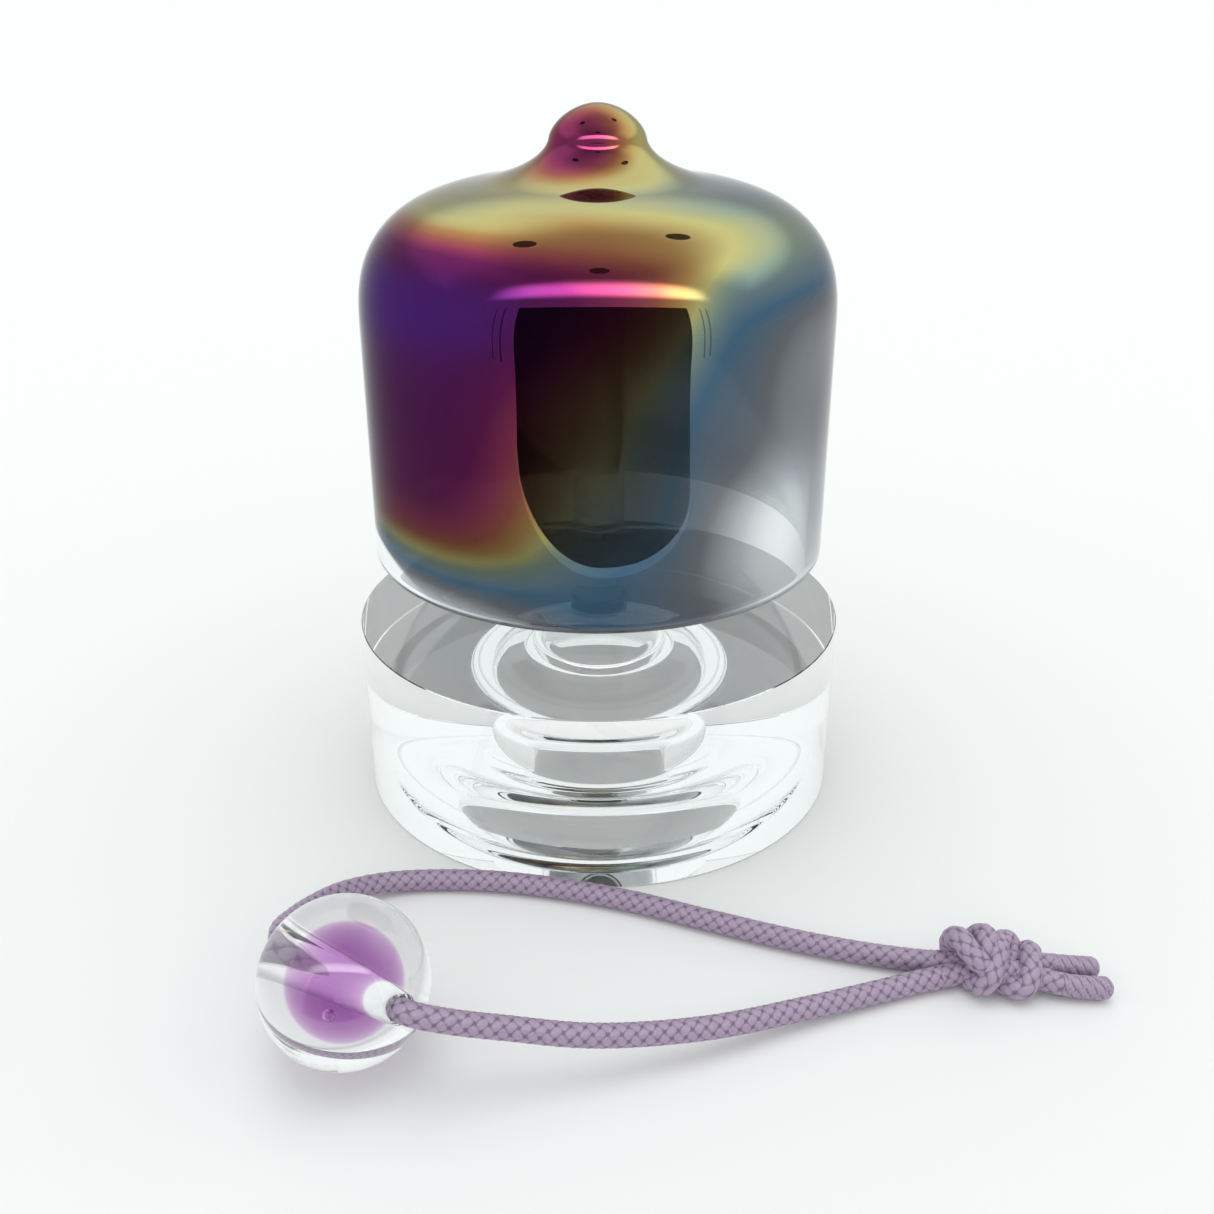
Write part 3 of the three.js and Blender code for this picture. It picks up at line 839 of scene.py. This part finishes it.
def mirror_card(name, form, colour, strength=1.0):
    """A card of the box that only mirrors show."""
    material, tree, output = new_material(name)
    glow = add_node(tree, "ShaderNodeEmission", inputs={"Color": linear(colour), "Strength": strength})
    tree.links.new(glow.outputs[0], output.inputs["Surface"])
    card = made(name, form)
    card.data.materials.append(material)
    card.visible_camera = False
    card.visible_diffuse = False
    card.visible_transmission = False
    card.visible_shadow = False
    return tree, glow


def oblong(low, high):
    """A flat rectangle between two corners that share one coordinate."""
    form = bmesh.new()
    size = Vector(high) - Vector(low)
    flat = min(range(3), key=lambda axis: abs(size[axis]))
    bmesh.ops.create_cube(form, size=1)
    bmesh.ops.scale(form, verts=form.verts, vec=[s if i != flat else 0 for i, s in enumerate(size)])
    bmesh.ops.translate(form, verts=form.verts, vec=(Vector(low) + Vector(high)) / 2)
    bmesh.ops.remove_doubles(form, verts=form.verts, dist=MERGE_DISTANCE)
    return form


def make_mouth():
    """The box's dark mouth, its sill with a bright border, and the folds beside it."""
    left, right = MOUTH_SIDES
    mirror_card("box_mouth", oblong((left, MOUTH_PLACE, 0), (right, MOUTH_PLACE, MOUTH_TOP)), MOUTH_GREY)
    mirror_card("box_sill", make_sill(0, SILL_LIFT), SILL_GREY)
    mirror_card("box_sill_border", make_sill(SILL_BORDER, SILL_LIFT / 2), BOX_WHITE, SILL_BORDER_GLOW)
    for place, width in FOLDS:
        fold = oblong(
            (place - width / 2, MOUTH_PLACE, FOLD_FOOT), (place + width / 2, MOUTH_PLACE, MOUTH_TOP))
        mirror_card("box_fold", fold, FOLD_GREY)


def make_sill(margin, lift):
    """The floor inside the mouth, rounded toward the bell."""
    sill = bmesh.new()
    columns, rows = SILL_STEPS
    bmesh.ops.create_grid(sill, x_segments=columns, y_segments=rows, size=1)
    turns = [math.atan2(side, -MOUTH_PLACE) for side in MOUTH_SIDES]
    for point in sill.verts:
        across, share = point.co.x, (point.co.y + 1) / 2
        turn = sum(turns) / 2 + across * (turns[1] - turns[0]) / 2
        edge = SILL_EDGES[across > 0]
        bulge = (1 - abs(across) ** SILL_FULLNESS) ** (1 / SILL_FULLNESS)
        inner = edge - (edge - SILL_NEAR) * bulge - margin
        outer = -MOUTH_PLACE / math.cos(turn)
        reach = outer + share * (inner - outer)
        point.co = (reach * math.sin(turn), -reach * math.cos(turn), lift)
    return sill


def make_lamp_bar():
    """The long lamp at the box's front, brightest along its middle and soft at its edges."""
    left, right = LAMP_SIDES
    low, high = LAMP_HEIGHTS
    crest_low, crest_high = LAMP_CREST
    tree, glow = mirror_card(
        "lamp_bar", oblong((left, LAMP_PLACE, low), (right, LAMP_PLACE, high)), "#ffffff")
    place = add_node(tree, "ShaderNodeTexCoord").outputs["Object"]
    axes = add_node(tree, "ShaderNodeSeparateXYZ", inputs=[place])
    bright = 1.0
    for axis, start, end, first, last in (
            ("Z", low, crest_low, 0.0, 1.0), ("Z", crest_high, high, 1.0, 0.0),
            ("X", left, left + LAMP_ENDS, 0.0, 1.0), ("X", right - LAMP_ENDS, right, 1.0, 0.0)):
        part = add_node(tree, "ShaderNodeMapRange", SMOOTH, [axes.outputs[axis], start, end, first, last])
        bright = add_node(tree, "ShaderNodeMath", MULTIPLY, [bright, part])
    strength = add_node(tree, "ShaderNodeMath", {"operation": "MULTIPLY_ADD"}, [
        bright, LAMP_STRENGTH - 1, 1.0])
    tree.links.new(strength.outputs[0], glow.inputs["Strength"])


def make_ceiling():
    """The box's ceiling, bright behind the bell and dim above it, with its press studs."""
    left, right = CEILING_SIDES
    tree, glow = mirror_card(
        "box_ceiling", oblong((left, CEILING_FRONT, CEILING), (right, CEILING_BACK, CEILING)), BOX_WHITE)
    place = add_node(tree, "ShaderNodeTexCoord").outputs["Object"]
    far = add_node(tree, "ShaderNodeVectorMath", DISTANCE, [place, CEILING_DIM_PLACE]).outputs["Value"]
    depth = add_node(tree, "ShaderNodeSeparateXYZ", inputs=[place]).outputs["Y"]
    rising = add_node(tree, "ShaderNodeMapRange", SMOOTH, [depth, CEILING_FRONT, 0.0, 1.0, CEILING_GLOW])
    fading = add_node(tree, "ShaderNodeMapRange", SMOOTH, [far, *CEILING_FADE, CEILING_GLOW, 1.0])
    bright = add_node(tree, "ShaderNodeMath", {"operation": "MINIMUM"}, [rising, fading])
    dim = add_node(tree, "ShaderNodeMapRange", SMOOTH, [far, *CEILING_DIM_REACH, CEILING_DIM, 1.0])
    shaded = add_node(tree, "ShaderNodeMath", MULTIPLY, [bright, dim])
    tree.links.new(shaded.outputs[0], glow.inputs["Strength"])
    studs = bmesh.new()
    for x, y in STUDS:
        bmesh.ops.create_circle(studs, cap_ends=True, segments=STUD_SIDES, radius=STUD_RADIUS,
                                matrix=Matrix.Translation((x, y, CEILING - STUD_DROP)))
    mirror_card("box_studs", studs, STUD_GREY)


def make_world():
    """Soft white surroundings: plain light on the object, a pale white where they are seen."""
    world = bpy.data.worlds.new("white_box")
    bpy.context.scene.world = world
    world.use_nodes = True
    tree = world.node_tree
    tree.nodes.clear()
    path = add_node(tree, "ShaderNodeLightPath")
    seen = path.outputs["Is Camera Ray"]
    for name in ("Is Glossy Ray", "Is Transmission Ray"):
        seen = add_node(tree, "ShaderNodeMath", {"operation": "MAXIMUM"}, [seen, path.outputs[name]])
    strength = add_node(tree, "ShaderNodeMix", inputs={0: seen, 2: WORLD_LIGHT, 3: 1.0})
    sky = add_node(tree, "ShaderNodeBackground", inputs={"Color": linear(BOX_WHITE), "Strength": strength})
    output = add_node(tree, "ShaderNodeOutputWorld")
    tree.links.new(sky.outputs[0], output.inputs["Surface"])


def make_overhead_light():
    """A broad soft light from straight above."""
    lamp = bpy.data.lights.new("overhead_panel", "SUN")
    lamp.angle = SUN_ANGLE
    lamp.energy = SUN_ENERGY
    holder = bpy.data.objects.new("overhead_panel", lamp)
    holder.location = (0, 0, 1)
    holder.visible_glossy = False
    bpy.context.scene.collection.objects.link(holder)


def main():
    """Makes the camera, the pieces and the stage, and lets light pass through all the glass."""
    make_camera()
    loop, others, path = make_cord(waxed_cord())
    glass, bare, rubber = crystal_glass(), blown_glass(), clear_silicone()
    make_base(glass)
    make_post(glass)
    make_collar(rubber)
    make_cap(rubber)
    bell_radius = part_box("bell_dome")[1].x
    make_bell(iridescent_glass(bell_radius), bare)
    shell, core = make_bead(glass, violet_glass())
    make_floor()
    make_mouth()
    make_lamp_bar()
    make_ceiling()
    make_world()
    make_overhead_light()
    scene = bpy.context.scene
    scene.view_settings.view_transform = "Standard"
    scene.cycles.max_bounces = 32
    scene.cycles.transmission_bounces = 32
    scene.cycles.glossy_bounces = 24


main()
